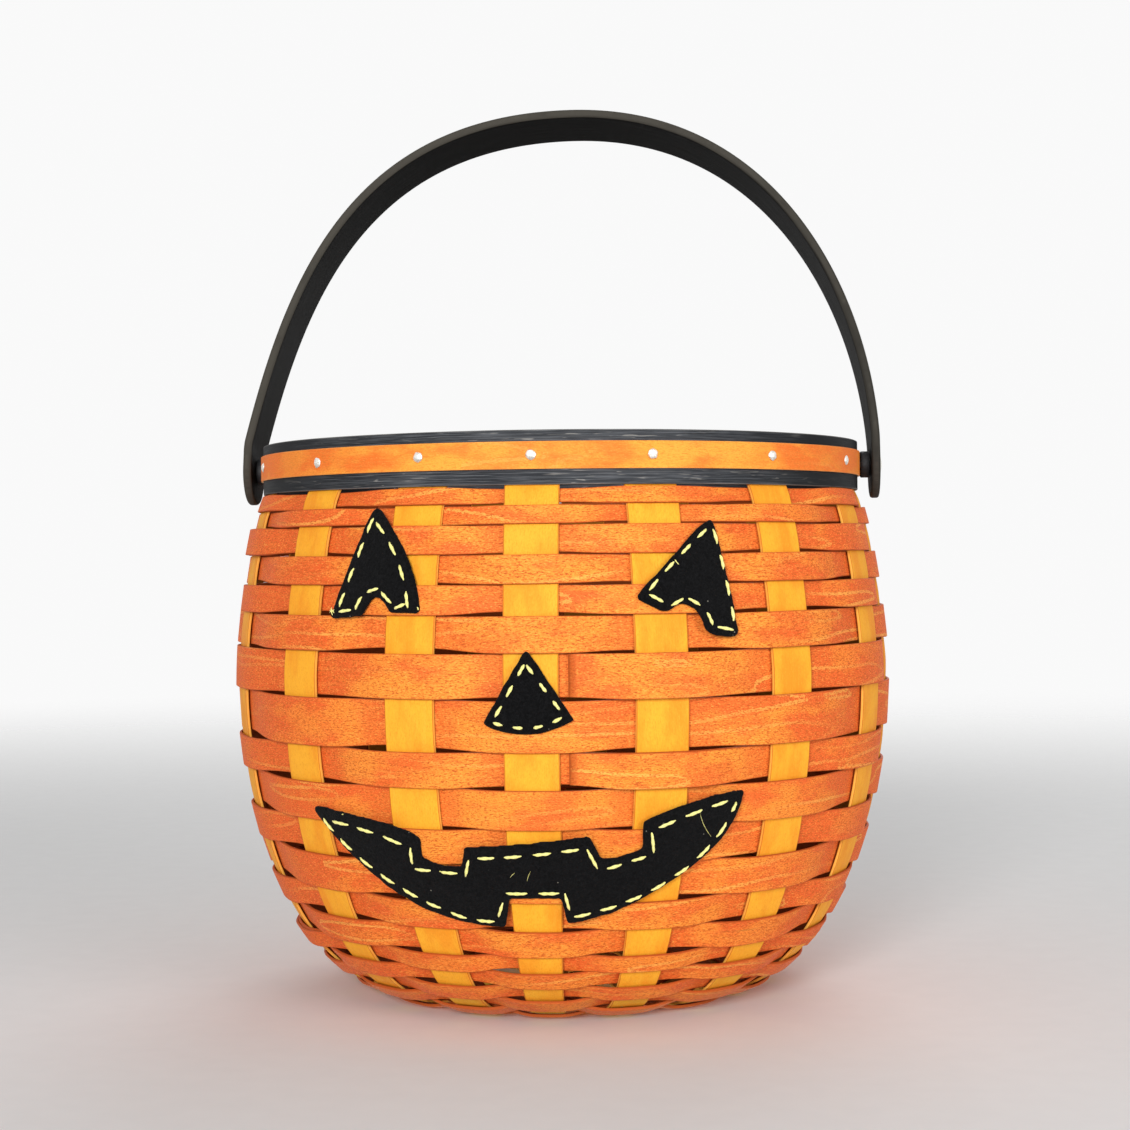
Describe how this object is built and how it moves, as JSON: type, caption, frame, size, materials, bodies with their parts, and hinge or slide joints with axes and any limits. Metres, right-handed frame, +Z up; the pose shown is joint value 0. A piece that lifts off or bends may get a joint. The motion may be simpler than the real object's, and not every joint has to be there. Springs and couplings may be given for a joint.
{
  "type": "woven splint basket",
  "caption": "Round-bellied splint basket in plain start-and-stop weave with a banded rim, a swing handle on two rivets and a felt jack-o'-lantern face.",
  "frame": {"origin": "On the basket's own axis, on the surface that the underside of its base weave rests on, below the middle of the basket.", "axes": "+Z up along the basket's axis, the felt face looks along -Y, and the handle's pivot axis runs along X through the two rivets."},
  "size_m": [0.2432, 0.2448, 0.3303],
  "materials": {
    "splint_yellow": "yellow-orange dyed ash splint, satin",
    "weaver_orange": "orange dyed maple splint with visible grain, satin",
    "rim_black": "black stained bentwood, satin",
    "trim_orange": "orange dyed splint, satin",
    "handle_black": "black stained bentwood, worn pale at the edges",
    "spacer_black": "black washer, matt",
    "tack_steel": "bright domed tack heads",
    "rivet_steel": "bright domed rivets",
    "felt_black": "black craft felt with a yellow running stitch"
  },
  "bodies": {
    "basket": {"splint_01": "splint_yellow", "splint_02": "splint_yellow", "splint_03": "splint_yellow", "splint_04": "splint_yellow", "splint_05": "splint_yellow", "splint_06": "splint_yellow", "splint_07": "splint_yellow", "splint_08": "splint_yellow", "weaver_01": "weaver_orange", "weaver_02": "weaver_orange", "weaver_03": "weaver_orange", "weaver_04": "weaver_orange", "weaver_05": "weaver_orange", "weaver_06": "weaver_orange", "weaver_07": "weaver_orange", "weaver_08": "weaver_orange", "weaver_09": "weaver_orange", "weaver_10": "weaver_orange", "weaver_11": "weaver_orange", "weaver_12": "weaver_orange", "weaver_13": "weaver_orange", "weaver_14": "weaver_orange", "weaver_15": "weaver_orange", "weaver_16": "weaver_orange", "weaver_17": "weaver_orange", "weaver_18": "weaver_orange", "weaver_19": "weaver_orange", "weaver_20": "weaver_orange", "weaver_21": "weaver_orange", "weaver_22": "weaver_orange", "weaver_23": "weaver_orange", "weaver_24": "weaver_orange", "rim_band_inner": "rim_black", "rim_band_outer": "rim_black", "rim_trim": "trim_orange", "tack_01": "tack_steel", "tack_02": "tack_steel", "tack_03": "tack_steel", "tack_04": "tack_steel", "tack_05": "tack_steel", "tack_06": "tack_steel", "tack_07": "tack_steel", "tack_08": "tack_steel", "tack_09": "tack_steel", "tack_10": "tack_steel", "tack_11": "tack_steel", "tack_12": "tack_steel", "tack_13": "tack_steel", "tack_14": "tack_steel", "pivot_rivet_left": "rivet_steel", "pivot_rivet_right": "rivet_steel", "pivot_spacer_left": "spacer_black", "pivot_spacer_right": "spacer_black", "felt_eye_left": "felt_black", "felt_eye_right": "felt_black", "felt_nose": "felt_black", "felt_mouth": "felt_black"},
    "handle": {"handle": "handle_black"}
  },
  "joints": [
    {"name": "handle_hinge", "type": "hinge", "parent": "basket", "child": "handle", "pos_m": [0, 0, 0.1918], "axis": [1, 0, 0], "range_deg": [-84, 108]}
  ]
}
